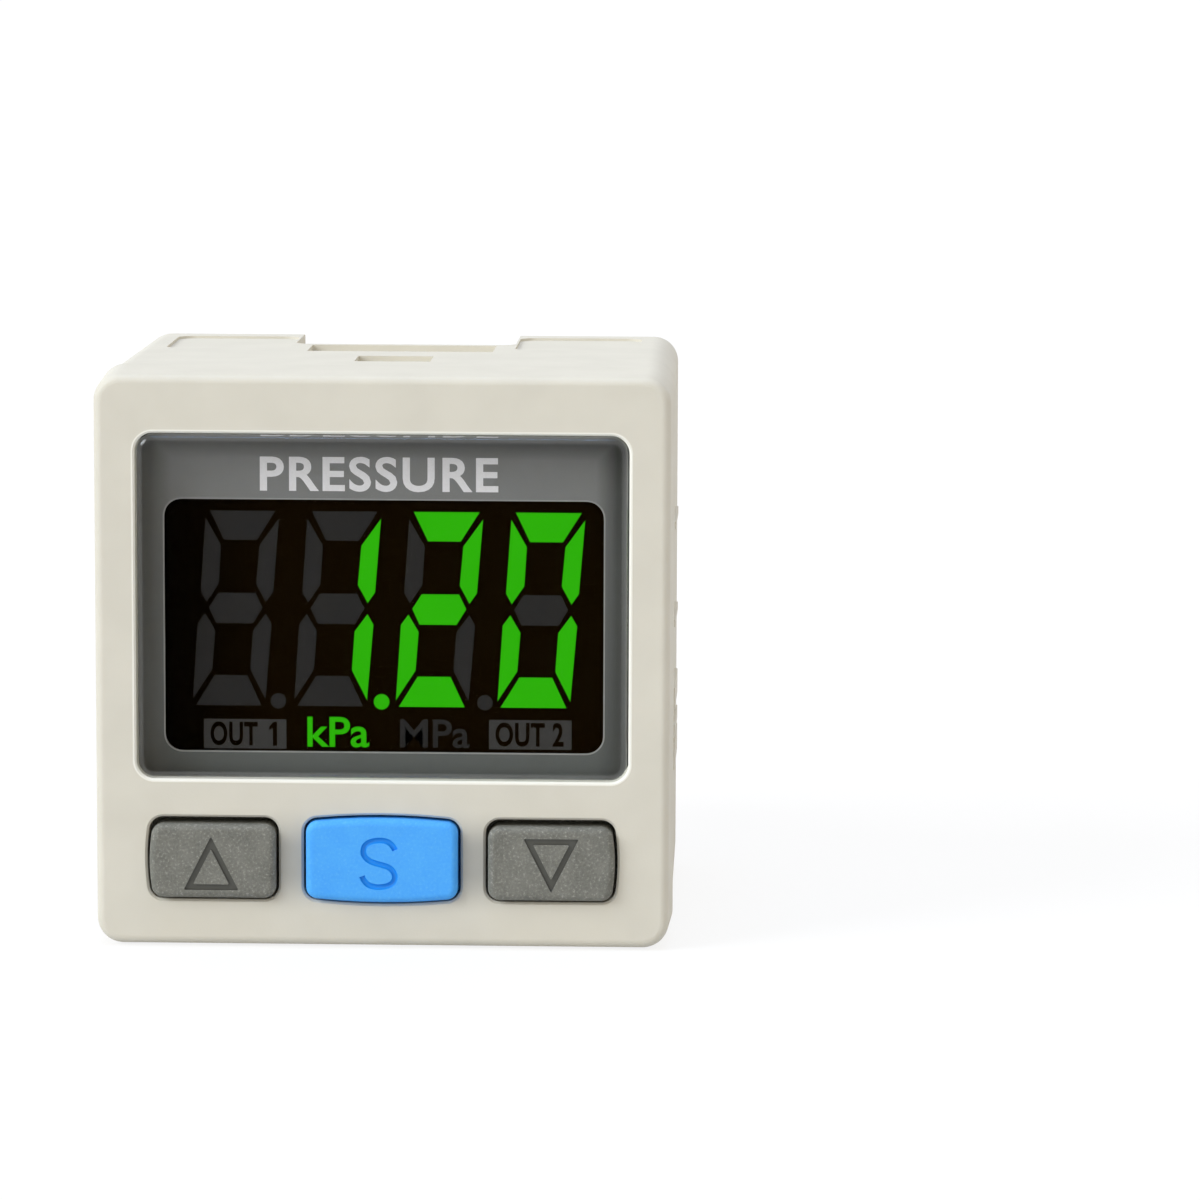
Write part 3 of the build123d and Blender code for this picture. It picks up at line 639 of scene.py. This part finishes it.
upper_left = [(-1.91, 4.72), (-1.0, 3.31), (-0.97, 1.26), (-1.55, 0.32), (-1.89, 0.87)]
lower_left = [(-1.58, -0.27), (-1.93, -0.81), (-1.89, -4.77), (-0.99, -3.21), (-0.98, -1.18)]
segments = {
    "a": [(-1.70, 5.10), (1.70, 5.10), (0.85, 3.57), (-0.85, 3.57)],
    "b": mirrored(upper_left),
    "c": mirrored(lower_left),
    "d": [(-0.85, -3.52), (0.85, -3.52), (1.71, -5.11), (-1.71, -5.11)],
    "e": lower_left,
    "f": upper_left,
    "g": [(-0.97, 0.80), (0.97, 0.80), (1.40, 0.03), (0.96, -0.79), (-0.96, -0.79), (-1.40, 0.03)],
}
print("segments of a digit:", len(segments), "glass at depth", round(GLASS_FRONT, 3))

# %% Digits that read 1.20
reading = ["", "bc", "abged", "abcdef"]
lit_shape = bmesh.new()
unlit_shape = bmesh.new()
for place, lit in enumerate(reading):
    middle_x = FIRST_DIGIT_X + place * DIGIT_SPACING
    for letter, outline in segments.items():
        leaning = [(middle_x + x + LEAN * z, DIGIT_MIDDLE_Z + z) for x, z in outline]
        target = lit_shape if letter in lit else unlit_shape
        face = add_face(target, leaning, SEGMENT_FRONT)
        extrude_to_rear(target, [face], GLASS_FRONT - SEGMENT_FRONT)
print("faces, lit and unlit:", len(lit_shape.faces), len(unlit_shape.faces))

# %% [markdown]
# A decimal point follows each of the first three digits. Only the one after the second digit is
# lit. A point is a short disc, which starts as Blender's circle.

# %% Decimal points
FIRST_POINT_X = -5.52
POINT_SPACING = 5.38
POINT_Z = 12.70
POINT_RADIUS = 0.406
LIT_POINT = 1
TO_FRONT = Matrix.Rotation(math.pi / 2, 4, "X")

for number in range(3):
    target = lit_shape if number == LIT_POINT else unlit_shape
    x = FIRST_POINT_X + number * POINT_SPACING
    place = Matrix.Translation((x * MM, at_depth(SEGMENT_FRONT), POINT_Z * MM)) @ TO_FRONT
    made = bmesh.ops.create_circle(
        target, cap_ends=True, segments=32, radius=POINT_RADIUS * MM, matrix=place)
    extrude_to_rear(target, [made["verts"][0].link_faces[0]], GLASS_FRONT - SEGMENT_FRONT)
make_piece("digits_lit", lit_shape, [lit_segment], "housing")
make_piece("digits_unlit", unlit_shape, [unlit_segment], "housing")

# %% [markdown]
# ## Lettering
# The words on the display and the film could be drawn like the digits, but their curves are many,
# so they are set in Blender's own sans serif. A text object is turned to a mesh first, then scaled
# to the box that it fills and laid on its surface. The font's outlines can be thickened, which
# makes the bold weight of the legend.

# %% Helper for lettering
FONT_MERGE = 1e-5


def make_lettering(name, text, box, depths, material, weight, spacing=1.0):
    """Flat letters that fill a box from one depth to another.

    The box is two corners, (X, Z) in millimetres. weight thickens the font's outlines.
    """
    (low_x, low_z), (high_x, high_z) = box
    front, rear = depths
    font = bpy.data.curves.new(name + "_font", "FONT")
    font.body = text
    font.offset = weight
    font.space_character = spacing
    font.extrude = 0.5
    font.resolution_u = 5
    holder = add_object(name + "_holder", font)
    flat = evaluated_mesh(holder)
    bpy.data.objects.remove(holder)
    shape = bmesh.new()
    shape.from_mesh(flat)
    bmesh.ops.remove_doubles(shape, verts=shape.verts, dist=FONT_MERGE)
    start = Vector((min(v.co.x for v in shape.verts), min(v.co.y for v in shape.verts), 0))
    end = Vector((max(v.co.x for v in shape.verts), max(v.co.y for v in shape.verts), 0))
    bmesh.ops.translate(shape, verts=shape.verts, vec=-(start + end) / 2)
    bmesh.ops.scale(shape, verts=shape.verts, vec=(
        (high_x - low_x) * MM / (end.x - start.x),
        (high_z - low_z) * MM / (end.y - start.y),
        (rear - front) * MM))
    bmesh.ops.rotate(shape, verts=shape.verts, matrix=Matrix.Rotation(math.pi / 2, 3, "X"))
    bmesh.ops.translate(shape, verts=shape.verts, vec=(
        (low_x + high_x) / 2 * MM, at_depth((front + rear) / 2), (low_z + high_z) / 2 * MM))
    make_piece(name, shape, [material], "housing")


# %% [markdown]
# Below the digits are the two units and two boxes, one for each output. kPa is lit. The boxes are
# lighter plates with their words left black. The words could be cut out of the boxes, but thin
# black plates in front of them look the same and leave the boxes whole.

# %% Units and outputs on the display
BOX_FRONT = 2.625
BOX_WIDTH, BOX_HEIGHT = 4.30, 1.55
WORD_LEFT, WORD_LOW, WORD_TOP = 0.34, 0.16, 0.13
ON_GLASS = (SEGMENT_FRONT, GLASS_FRONT)
ON_BOX = (SEGMENT_FRONT, BOX_FRONT)

make_lettering("unit_kpa", "kPa", ((-4.01, 10.29), (-0.79, 11.88)), ON_GLASS, lit_segment,
               weight=0.012)
make_lettering("unit_mpa", "MPa", ((0.82, 10.29), (4.45, 11.79)), ON_GLASS, unlit_segment,
               weight=0.012)
# Each output has its word, its box's lower left corner, and the room at the word's right.
outputs = {"output_1": ("OUT", -9.41, 10.18, 1.5), "output_2": ("OUT 2", 5.45, 10.25, 0.42)}
box_shape = bmesh.new()
for name, (word, x, z, room) in outputs.items():
    right, top = x + BOX_WIDTH, z + BOX_HEIGHT
    face = add_face(box_shape, [(x, z), (right, z), (right, top), (x, top)], BOX_FRONT)
    extrude_to_rear(box_shape, [face], GLASS_FRONT - BOX_FRONT)
    word_box = ((x + WORD_LEFT, z + WORD_LOW), (right - room, top - WORD_TOP))
    make_lettering(name + "_word", word, word_box, ON_BOX, polarised_cell_glass,
                   weight=0.028, spacing=1.08)
make_piece("output_boxes", box_shape, [output_box], "housing")

# %% [markdown]
# The font's figure one is a bare bar, which reads as a capital i. So the figure of the first output
# is drawn from a listed outline, with a flag.

# %% Figure one of the first output
ONE_PLACE = (-6.0, 10.34)
one_outline = [(0.19, 0.0), (0.19, 0.93), (0.0, 0.83), (0.0, 1.0), (0.22, 1.26), (0.40, 1.26),
               (0.40, 0.0)]
one_shape = bmesh.new()
one_face = add_face(
    one_shape, [(ONE_PLACE[0] + x, ONE_PLACE[1] + z) for x, z in one_outline], SEGMENT_FRONT)
extrude_to_rear(one_shape, [one_face], BOX_FRONT - SEGMENT_FRONT)
make_piece("output_1_figure", one_shape, [polarised_cell_glass], "housing")

# %% [markdown]
# The legend is printed on the front of the film in light ink, which stands 0.015 mm proud: real ink
# is about that thick. It is set a little wider apart than the other words.

# %% Legend on the film
FILM_FRONT = depth_of(FILM_LOW.y)
INK = 0.015
make_lettering("legend", "PRESSURE", ((-6.42, 23.71), (5.93, 25.53)),
               (FILM_FRONT - INK, FILM_FRONT), light_grey_ink, weight=0.022, spacing=1.12)

# %% [markdown]
# The film is cut out over the display. A thin paler ring on its face round the opening is a painted
# highlight on the cut edge. It could be painted on the film by a mask, as on the housing, but here
# it has sharp borders. So it is a rectangle whose corners a bevel rounds, and an inset leaves its
# fine outline.

# %% Cut edge of the film
EDGE_WIDTH = 0.07
OPENING_LOW, OPENING_HIGH = (-11.4, 10.09), (11.4, 23.28)
OPENING_RADIUS = 0.9
edge_left, edge_low = (c - EDGE_WIDTH for c in OPENING_LOW)
edge_right, edge_top = (c + EDGE_WIDTH for c in OPENING_HIGH)
edge_shape = bmesh.new()
add_face(edge_shape, [(edge_left, edge_low), (edge_right, edge_low), (edge_right, edge_top),
                      (edge_left, edge_top)], FILM_FRONT - INK)
bmesh.ops.bevel(edge_shape, geom=edge_shape.verts[:], affect="VERTICES", segments=10,
                offset=(OPENING_RADIUS + EDGE_WIDTH) * MM, profile=0.5, material=-1)
inset_to_ring(edge_shape, edge_shape.faces[:][0], EDGE_WIDTH)
extrude_to_rear(edge_shape, edge_shape.faces[:], INK)
# The ring is a painted highlight on the film's cut edge.
make_piece("film_edge", edge_shape, [cut_edge_highlight_paint], "housing")

# %% [markdown]
# ## Buttons with their signs
# Each cap is pressed with its sign: an up arrow, the letter of the set key and a down arrow. A dark
# print or a bump would stay flat in low light, so the signs are cut. A copy of the cap is merged to
# one closed surface, and the sign is cut from it by a Boolean. The cut's faces bring the groove's
# material with them, because both meshes list the same two materials. The cap's flat front is
# shaded flat, so that the thin triangles that the cut leaves don't show.

# %% Helpers for the caps
MERGE = 1e-6
GROOVE_DEPTH = 0.12
SIGN_STROKE = 0.30
SHARP_ON_CAP = math.radians(35)
FLAT_FRONT = -0.9999


def merged_copy(node):
    """A copy of a solid model's piece, merged to one surface, without its stored normals."""
    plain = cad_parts[node].data.copy()
    if "custom_normal" in plain.attributes:
        plain.attributes.remove(plain.attributes["custom_normal"])
    shape = bmesh.new()
    shape.from_mesh(plain)
    bpy.data.meshes.remove(plain)
    bmesh.ops.remove_doubles(shape, verts=shape.verts, dist=MERGE)
    return shape


def cutter_from(shape, name):
    """An object that a Boolean can cut with, whose faces all have the groove's material."""
    bmesh.ops.recalc_face_normals(shape, faces=shape.faces)
    if shape.calc_volume(signed=True) < 0:
        bmesh.ops.reverse_faces(shape, faces=shape.faces)
    for face in shape.faces:
        face.material_index = 1
    return add_object(name, mesh_from(shape, name))


def carve(node, cutter, name, materials, body):
    """Cuts the sign from a copy of a cap and puts the copy in the cap's place."""
    cap = make_piece(name, merged_copy(node), materials, body)
    for material in materials:
        cutter.data.materials.append(material)
    cut = cap.modifiers.new("sign", "BOOLEAN")
    cut.operation = "DIFFERENCE"
    cut.object = cutter
    cut.solver = "MANIFOLD"
    carved = evaluated_mesh(cap)
    cap.modifiers.clear()
    cap.data = carved
    bpy.data.objects.remove(cutter)
    carved.shade_smooth()
    carved.set_sharp_from_angle(angle=SHARP_ON_CAP)
    for face in carved.polygons:
        face.use_smooth = face.normal.y > FLAT_FRONT
    weighted = cap.modifiers.new("even shading", "WEIGHTED_NORMAL")
    weighted.keep_sharp = True
    weighted.weight = 100
    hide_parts(node)
    print("carved", name, "faces:", len(carved.polygons))


print("grooves:", SIGN_STROKE, "mm wide and", GROOVE_DEPTH, "mm deep")

# %% [markdown]
# An arrow is an upright or upturned triangle in outline. It could be three bars, but their ends
# would overlap. So it starts as one triangle. An inset makes the stroke, and the middle is taken
# out. The ring is then extruded through the cap's face, and a bevel rounds its corners a little, as
# the point of an engraving tool leaves them.

# %% Arrow grooves
SIGN_FRONT = depth_of(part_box("button_up")[0].y)
ARROW_HALF_WIDTH = 1.43
POINT_ROUNDING = 0.08


def arrow_cutter(name, tip, base_z):
    """A triangular ring whose outer outline has this tip and base, in millimetres."""
    x, tip_z = tip
    outline = [(x - ARROW_HALF_WIDTH, base_z), (x + ARROW_HALF_WIDTH, base_z), (x, tip_z)]
    shape = bmesh.new()
    inset_to_ring(shape, add_face(shape, outline, SIGN_FRONT - GROOVE_DEPTH), SIGN_STROKE)
    extrude_to_rear(shape, shape.faces[:], 2 * GROOVE_DEPTH)
    corners = [edge for edge in shape.edges
               if abs((edge.verts[0].co - edge.verts[1].co).y) > GROOVE_DEPTH * MM]
    bmesh.ops.bevel(shape, geom=corners, affect="EDGES", offset=POINT_ROUNDING * MM, segments=2,
                    profile=0.5, material=-1)
    return cutter_from(shape, name)


grey_pair = [grey_silicone, grey_groove_shade]
carve("button_up", arrow_cutter("up_sign", (-8.855, 5.92), 3.10), "cap_up",
      grey_pair, "button_up")
carve("button_down", arrow_cutter("down_sign", (8.79, 3.12), 5.94), "cap_down",
      grey_pair, "button_down")

# %% [markdown]
# The S is one even stroke with round ends. The font's S has ends cut square, so a smooth curve
# through a few listed points carries a round profile instead, and the tube that this makes presses
# a round groove into the cap.

# %% Letter groove
LETTER_MIDDLE = (-0.135, 4.565)
letter_points = [(0.84, 0.72), (0.66, 1.13), (0.02, 1.27), (-0.70, 1.08), (-0.86, 0.55),
                 (-0.55, 0.14), (0.0, -0.02), (0.60, -0.18), (0.88, -0.62), (0.70, -1.10),
                 (0.0, -1.27), (-0.72, -1.10), (-0.88, -0.66)]


def letter_cutter(name):
    """A tube with round section along the letter's line, which lies in the cap's front."""
    middle_x, middle_z = LETTER_MIDDLE
    curve = bpy.data.curves.new(name, "CURVE")
    curve.dimensions = "3D"
    curve.bevel_depth = SIGN_STROKE / 2 * MM
    curve.bevel_resolution = 4
    curve.use_fill_caps = True
    spline = curve.splines.new("NURBS")
    spline.points.add(len(letter_points) - 1)
    for point, (x, z) in zip(spline.points, letter_points):
        point.co = ((x + middle_x) * MM, at_depth(SIGN_FRONT), (z + middle_z) * MM, 1)
    spline.order_u = 3
    spline.use_endpoint_u = True
    spline.resolution_u = 6
    holder = add_object(name + "_line", curve)
    tube = evaluated_mesh(holder)
    bpy.data.objects.remove(holder)
    shape = bmesh.new()
    shape.from_mesh(tube)
    bmesh.ops.remove_doubles(shape, verts=shape.verts, dist=MERGE / 10)
    return cutter_from(shape, name)


carve("button_set", letter_cutter("letter_sign"), "cap_set",
      [blue_silicone, blue_groove_shade], "button_set")

# %% [markdown]
# ## The port's threads
# The port ends in a pipe thread with 28 threads to the inch, and a smaller thread is tapped into
# it. A bump would show the turns but not their outline, so they are modelled. The solid model has
# both as plain cylinders at the crests. In a merged copy the cylinders are drawn in to the roots,
# and one tooth is spun along a helix to stand on each. Each tooth is a little longer than its
# cylinder. What passes an end is pushed back to it, and a cone trims the crest there, so that the
# tooth runs out as on a turned part.

# %% Helpers for threads
PORT_LOW, PORT_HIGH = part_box("port_body")
PORT_Z = (PORT_LOW.z + PORT_HIGH.z) / 2
PORT_END = PORT_HIGH.y
STEPS = 40
# The tooth's two flanks and its crest, as shares of the pitch.
CREST_START, CREST_END, TOOTH_END = 0.40, 0.54, 0.94


def port_radius(v):
    """A vertex's distance from the port's axis, in millimetres."""
    return math.hypot(v.co.x, v.co.z - PORT_Z) / MM


def set_port_radius(v, radius):
    """Moves a vertex straight in or out to this distance from the port's axis."""
    share = radius / port_radius(v)
    v.co.x *= share
    v.co.z = PORT_Z + (v.co.z - PORT_Z) * share


def wind_tooth(shape, root, crest, pitch, start, turns):
    """Spins one tooth round the port's axis and returns its vertices.

    start is the tooth's first Y. The other sizes are in millimetres.
    """
    before = set(shape.verts)
    profile = [(root, 0.0), (crest, CREST_START), (crest, CREST_END), (root, TOOTH_END)]
    corners = [shape.verts.new((0, start + share * pitch * MM, PORT_Z + radius * MM))
               for radius, share in profile]
    face = shape.faces.new(corners)
    bmesh.ops.spin(shape, geom=[face] + list(face.edges) + corners, cent=(0, start, PORT_Z),
                   axis=(0, 1, 0), dvec=(0, pitch / STEPS * MM, 0), angle=2 * math.pi * turns,
                   steps=round(STEPS * turns), use_merge=False, use_duplicate=False)
    return [v for v in shape.verts if v not in before]


print("port: axis", round(PORT_Z / MM, 2), "mm high, end at depth", round(depth_of(PORT_END), 2))

# %% Threaded port
PIPE_PITCH = 25.4 / 28
PIPE_CREST = 4.865
PIPE_ROOT = 4.283
PIPE_LENGTH = 7.0
CHAMFER = 0.8
TAP_PITCH = 0.8
TAP_CREST = 2.1
TAP_ROOT = 2.5
TAP_DEPTH = 6.0
# A tooth's foot is sunk in the port, and its ends stay a skin's thickness inside it.
SINK = 0.1
SKIN = 0.01
SHARP_ON_PORT = math.radians(20)


def draw_in_to_roots(shape, pipe_start):
    """Moves the plain cylinders from the threads' crests to their roots."""
    tap_end = PORT_END - (TAP_DEPTH + SINK) * MM
    for v in shape.verts:
        radius = port_radius(v)
        if v.co.y > pipe_start - SINK * MM and PIPE_ROOT < radius < PIPE_CREST + SINK:
            set_port_radius(v, PIPE_ROOT)
        if v.co.y > tap_end and abs(radius - TAP_CREST) < SINK:
            set_port_radius(v, TAP_ROOT)


def make_port():
    shape = merged_copy("port_body")
    pipe_start = PORT_END - PIPE_LENGTH * MM
    draw_in_to_roots(shape, pipe_start)
    rear = PORT_END - SKIN * MM
    runout = PIPE_CREST - PIPE_ROOT + SKIN
    tooth_start = pipe_start - PIPE_PITCH * MM
    turns = PIPE_LENGTH / PIPE_PITCH + 1
    for v in wind_tooth(shape, PIPE_ROOT - SINK, PIPE_CREST, PIPE_PITCH, tooth_start, turns):
        v.co.y = min(max(v.co.y, pipe_start + SKIN * MM), rear)
        to_start = (v.co.y - pipe_start) / MM
        to_end = (PORT_END - v.co.y) / MM
        limit = PIPE_CREST - max(0.0, CHAMFER - to_end, runout - to_start)
        if port_radius(v) > limit:
            set_port_radius(v, limit)
    tooth_start = PORT_END - TAP_DEPTH * MM
    turns = TAP_DEPTH / TAP_PITCH
    for v in wind_tooth(shape, TAP_ROOT + SINK, TAP_CREST, TAP_PITCH, tooth_start, turns):
        v.co.y = min(v.co.y, rear)
        limit = TAP_CREST + max(0.0, TAP_ROOT - TAP_CREST - (PORT_END - v.co.y) / MM)
        if port_radius(v) < limit:
            set_port_radius(v, limit)
    port = make_piece("threaded_port", shape, [nickel_plate], "housing")
    port.data.shade_smooth()
    port.data.set_sharp_from_angle(angle=SHARP_ON_PORT)
    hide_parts("port_body")


make_port()

# %% [markdown]
# ## Studio
# The camera stands where the photographer's did, a little above the switch and to its right, with a
# long lens. It could be aimed at a point, but its place is written in millimetres and its direction
# as yaw, pitch and roll, because the camera of a photograph isn't quite level.

# %% Camera
CAMERA_PLACE = Vector((20.614, -309.009, 58.499)) * MM
YAW, PITCH, ROLL = (math.radians(angle) for angle in (-1.843, -7.851, 0.217))
SENSOR = 36.0
FOCAL_LENGTH = 171.12


def make_camera():
    ahead = Vector((
        math.sin(YAW) * math.cos(PITCH), math.cos(YAW) * math.cos(PITCH), math.sin(PITCH)))
    level = Vector((math.cos(YAW), -math.sin(YAW), 0))
    over = level.cross(ahead)
    right = math.cos(ROLL) * level + math.sin(ROLL) * over
    up = math.cos(ROLL) * over - math.sin(ROLL) * level
    data = bpy.data.cameras.new("camera")
    data.sensor_width = SENSOR
    data.lens = FOCAL_LENGTH
    data.clip_start = 0.01
    camera = add_object("camera", data)
    turn = Matrix((right, up, -ahead)).transposed().to_4x4()
    camera.matrix_world = Matrix.Translation(CAMERA_PLACE) @ turn
    bpy.context.scene.camera = camera
    return camera


print("camera at", [round(c / MM) for c in make_camera().location])

# %% [markdown]
# The light is a warm white room with two wide soft lamps: one at the left and in front, and a
# cooler one right above. The top faces get the most of it and the right side the least. Area lamps
# would do as well, but their light fades with distance, and a wide sun's is the same all over. The
# floor and the room are plain white to the camera, and to what reflects or refracts them, and their
# light on the object is set apart from that. The floor is paint mixed with glow, so that the
# paint's share still takes the object's shadow.

# %% Room and floor
ROOM_LEVEL = 0.73
ROOM_COLOUR = "FFF4E0"
FLOOR_HALF = 3.0
FLOOR_GLOW = 1.12
GLOW_SHARE = 0.75


def white_to_the_eye(tree):
    """A value of 1 for rays that see the background, straight or by a mirror or glass."""
    rays = add(tree, "LightPath", {}, {}).outputs
    seen = add(tree, "Math", {"operation": "MAXIMUM"}, {
        0: rays["Is Camera Ray"], 1: rays["Is Glossy Ray"]})
    return add(tree, "Math", {"operation": "MAXIMUM"}, {
        0: seen, 1: rays["Is Transmission Ray"]})


def make_room():
    world = bpy.data.worlds.new("white_room")
    world.use_nodes = True
    tree = world.node_tree
    strength = add(tree, "MapRange", {}, {"Value": white_to_the_eye(tree), "To Min": ROOM_LEVEL})
    colour = add(tree, "Mix", COLOURS, {
        "Factor": white_to_the_eye(tree), "A": linear(ROOM_COLOUR), "B": linear("FFFFFF")})
    fill(tree.nodes["Background"], {"Strength": strength, "Color": colour})
    bpy.context.scene.world = world


def make_floor():
    material, tree, shader = new_material("white_table", {
        "Roughness": 0.8, "Base Color": linear("D2D2D2"), "Specular IOR Level": 0.0})
    glow = add(tree, "Emission", {}, {"Color": linear("FFFFFF"), "Strength": FLOOR_GLOW})
    share = add(tree, "MapRange", {}, {"Value": white_to_the_eye(tree), "To Max": GLOW_SHARE})
    mixed = add(tree, "MixShader", {}, {0: share, 1: shader, 2: glow})
    fill(tree.nodes["Material Output"], {"Surface": mixed})
    shape = bmesh.new()
    bmesh.ops.create_grid(shape, x_segments=1, y_segments=1, size=FLOOR_HALF)
    floor = add_object("table", mesh_from(shape, "table"))
    floor.data.materials.append(material)


make_room()
make_floor()
print("floor:", 2 * FLOOR_HALF, "m wide")


# %% Lamps
def make_lamp(name, azimuth, elevation, width, level, colour):
    """A far, wide, soft lamp that lights a surface facing it to this level.

    Azimuth 0 is in front and 90 to the right. width is the angle that it covers, as seen from the
    object. All angles are in degrees.
    """
    turn, rise = math.radians(azimuth), math.radians(elevation)
    towards = Vector((
        math.sin(turn) * math.cos(rise), -math.cos(turn) * math.cos(rise), math.sin(rise)))
    data = bpy.data.lights.new(name, "SUN")
    data.angle = math.radians(width)
    data.color = linear(colour)[:3]
    data.energy = level * math.pi
    lamp = add_object(name, data)
    lamp.rotation_mode = "QUATERNION"
    lamp.rotation_quaternion = towards.to_track_quat("Z", "Y")


lamps = {
    "side_softbox": (-60, 30, 32, 0.66, "F2F9FF"),
    "top_softbox": (0, 88, 32, 0.33, "97C5FF"),
}
for name, setting in lamps.items():
    make_lamp(name, *setting)
bpy.context.scene.view_settings.view_transform = "Standard"
